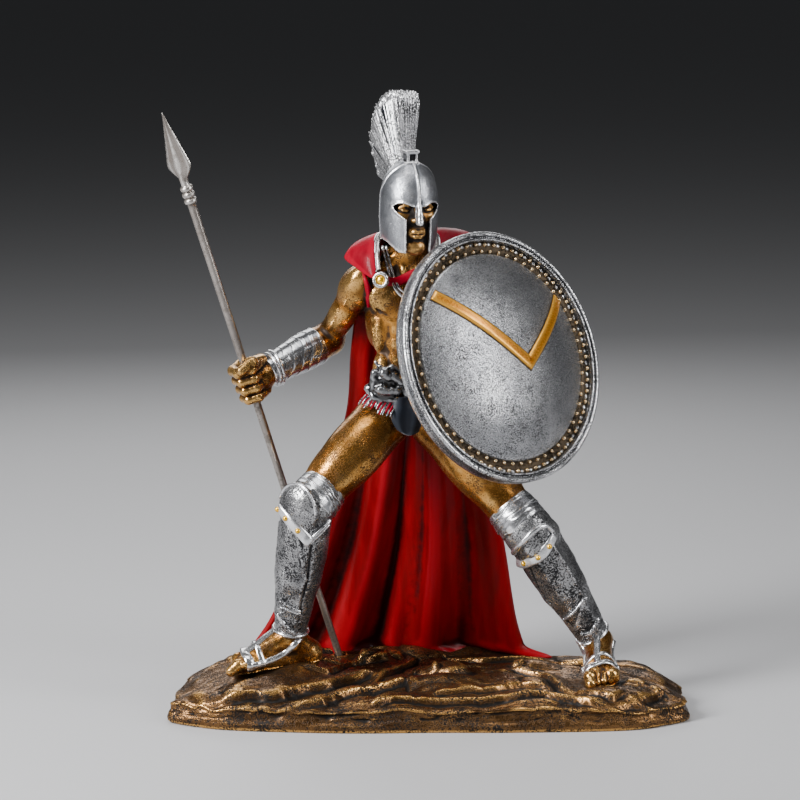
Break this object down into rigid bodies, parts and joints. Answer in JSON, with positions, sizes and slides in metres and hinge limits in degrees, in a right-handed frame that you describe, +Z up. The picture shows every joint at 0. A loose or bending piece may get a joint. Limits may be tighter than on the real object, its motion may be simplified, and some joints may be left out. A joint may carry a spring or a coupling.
{
  "type": "warrior statue",
  "caption": "Cast figurine of a cloaked ancient warrior on a rock base, braced behind a round shield with a spear planted beside the front leg.",
  "frame": {"origin": "middle of the rock base's length and depth, on its flat underside", "axes": "+Z up through the figure, +X to the viewer's right along the base, -Y towards the viewer and the side that the figure faces"},
  "size_m": [0.2103, 0.0955, 0.25],
  "materials": {
    "rock_bronze": "dark bronze paint over cast resin, rubbed to gold on the raised edges",
    "bronze_skin": "aged bronze paint over cast resin, dark in the hollows",
    "antique_silver": "antique silver paint over cast resin, dark in the hollows",
    "cloak_red": "glossy deep red paint over cast resin, near black in the folds",
    "dark_leather": "blue-black paint over cast resin",
    "gold_trim": "gold paint",
    "spear_steel": "warm grey steel with worn darker patches"
  },
  "bodies": {
    "root": {"rock_base": "rock_bronze", "warrior": "bronze_skin", "shield": "antique_silver", "spear": "spear_steel"}
  },
  "joints": []
}
